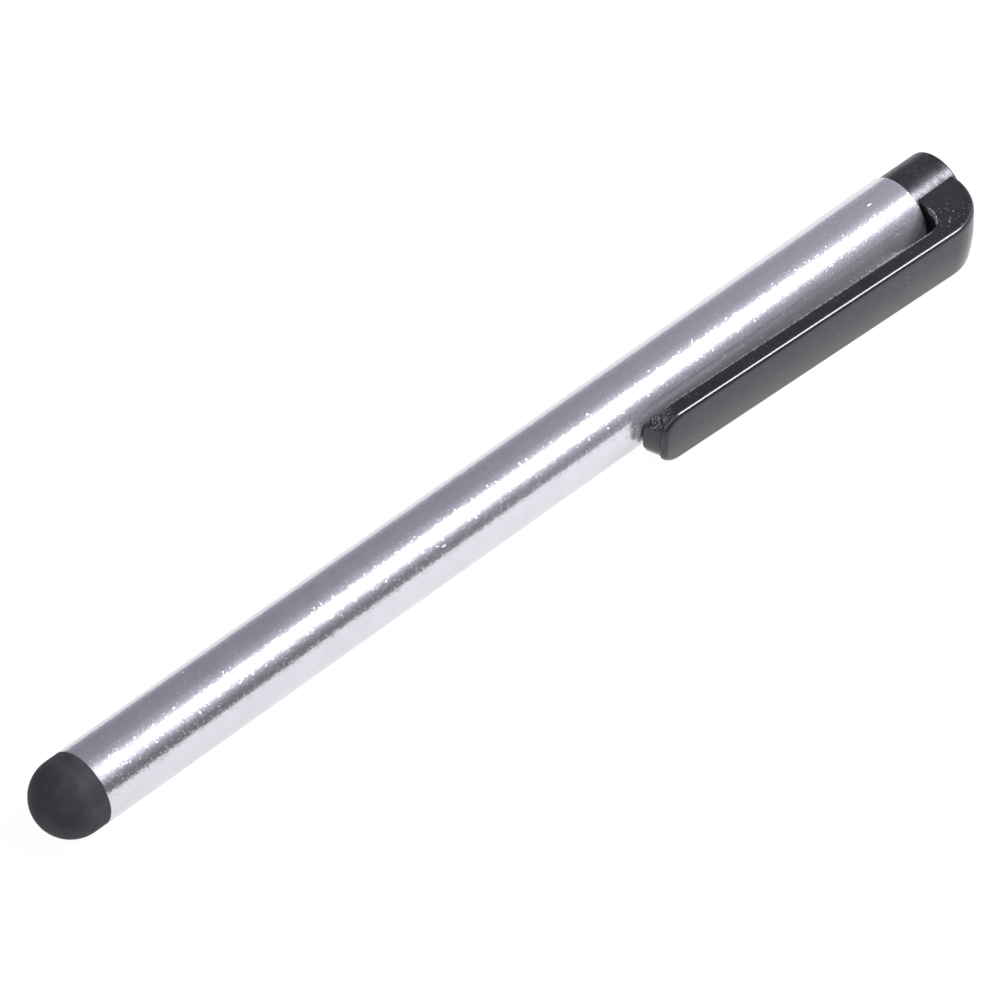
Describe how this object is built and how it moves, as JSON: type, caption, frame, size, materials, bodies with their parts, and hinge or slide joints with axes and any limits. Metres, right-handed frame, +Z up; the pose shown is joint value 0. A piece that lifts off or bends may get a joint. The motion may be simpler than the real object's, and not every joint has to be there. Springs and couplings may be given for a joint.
{
  "type": "stylus pen",
  "caption": "Slim round metal stylus with a domed soft rubber tip at one end and a black moulded cap with a springy pocket clip at the other.",
  "frame": {"origin": "on the surface that the pen lies on, under the middle of its outline", "axes": "+X along the pen from its rubber nib to its cap, +Z up, the clip towards -Y"},
  "size_m": [0.1056, 0.0108, 0.007],
  "materials": {
    "barrel_aluminium": "polished silver with fine sparkle",
    "nib_rubber": "matte charcoal",
    "holder_brass": "turned",
    "clip_plastic": "semi-gloss black"
  },
  "bodies": {
    "barrel": {"barrel_tube": "barrel_aluminium", "nib_holder": "holder_brass", "clip_cap": "clip_plastic"},
    "clip": {"clip_arm": "clip_plastic"},
    "nib": {"rubber_nib": "nib_rubber"}
  },
  "joints": [
    {"name": "clip_flex", "type": "hinge", "parent": "barrel", "child": "clip", "pos_m": [0.04802, -0.00427, 0.00277], "axis": [0, -0.1176, 0.9931], "range_deg": [0, 5], "stiffness_Nm_per_rad": 0.42},
    {"name": "nib_press", "type": "slide", "parent": "barrel", "child": "nib", "axis": [1, 0, 0], "range_m": [0, 0.001], "stiffness_N_per_m": 800, "deforming": ["rubber_nib"]}
  ]
}
